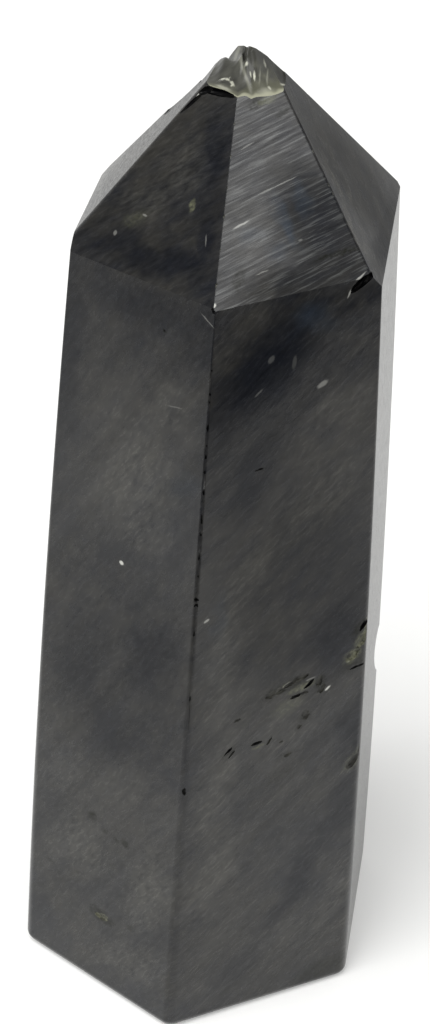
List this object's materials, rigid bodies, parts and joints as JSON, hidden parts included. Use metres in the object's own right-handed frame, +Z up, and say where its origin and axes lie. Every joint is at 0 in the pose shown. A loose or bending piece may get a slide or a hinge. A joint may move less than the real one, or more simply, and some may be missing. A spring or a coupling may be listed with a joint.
{
  "type": "hematite point",
  "caption": "Hand-ground six-sided hematite point with tapering sides, a faceted tip with a glassy break, and a flat base to stand on.",
  "frame": {"origin": "on the flat base, where the stone's upright axis meets it", "axes": "+Z up along the stone's long axis, from the base to the tip; -Y is the front, towards the corner between the two sides that the picture shows"},
  "size_m": [0.0264, 0.0299, 0.0787],
  "materials": {
    "hematite": "hand-polished dark grey hematite, semi-gloss with fine grinding scratches; the chips are glassy"
  },
  "bodies": {
    "root": {"hematite_point": "hematite"}
  },
  "joints": []
}
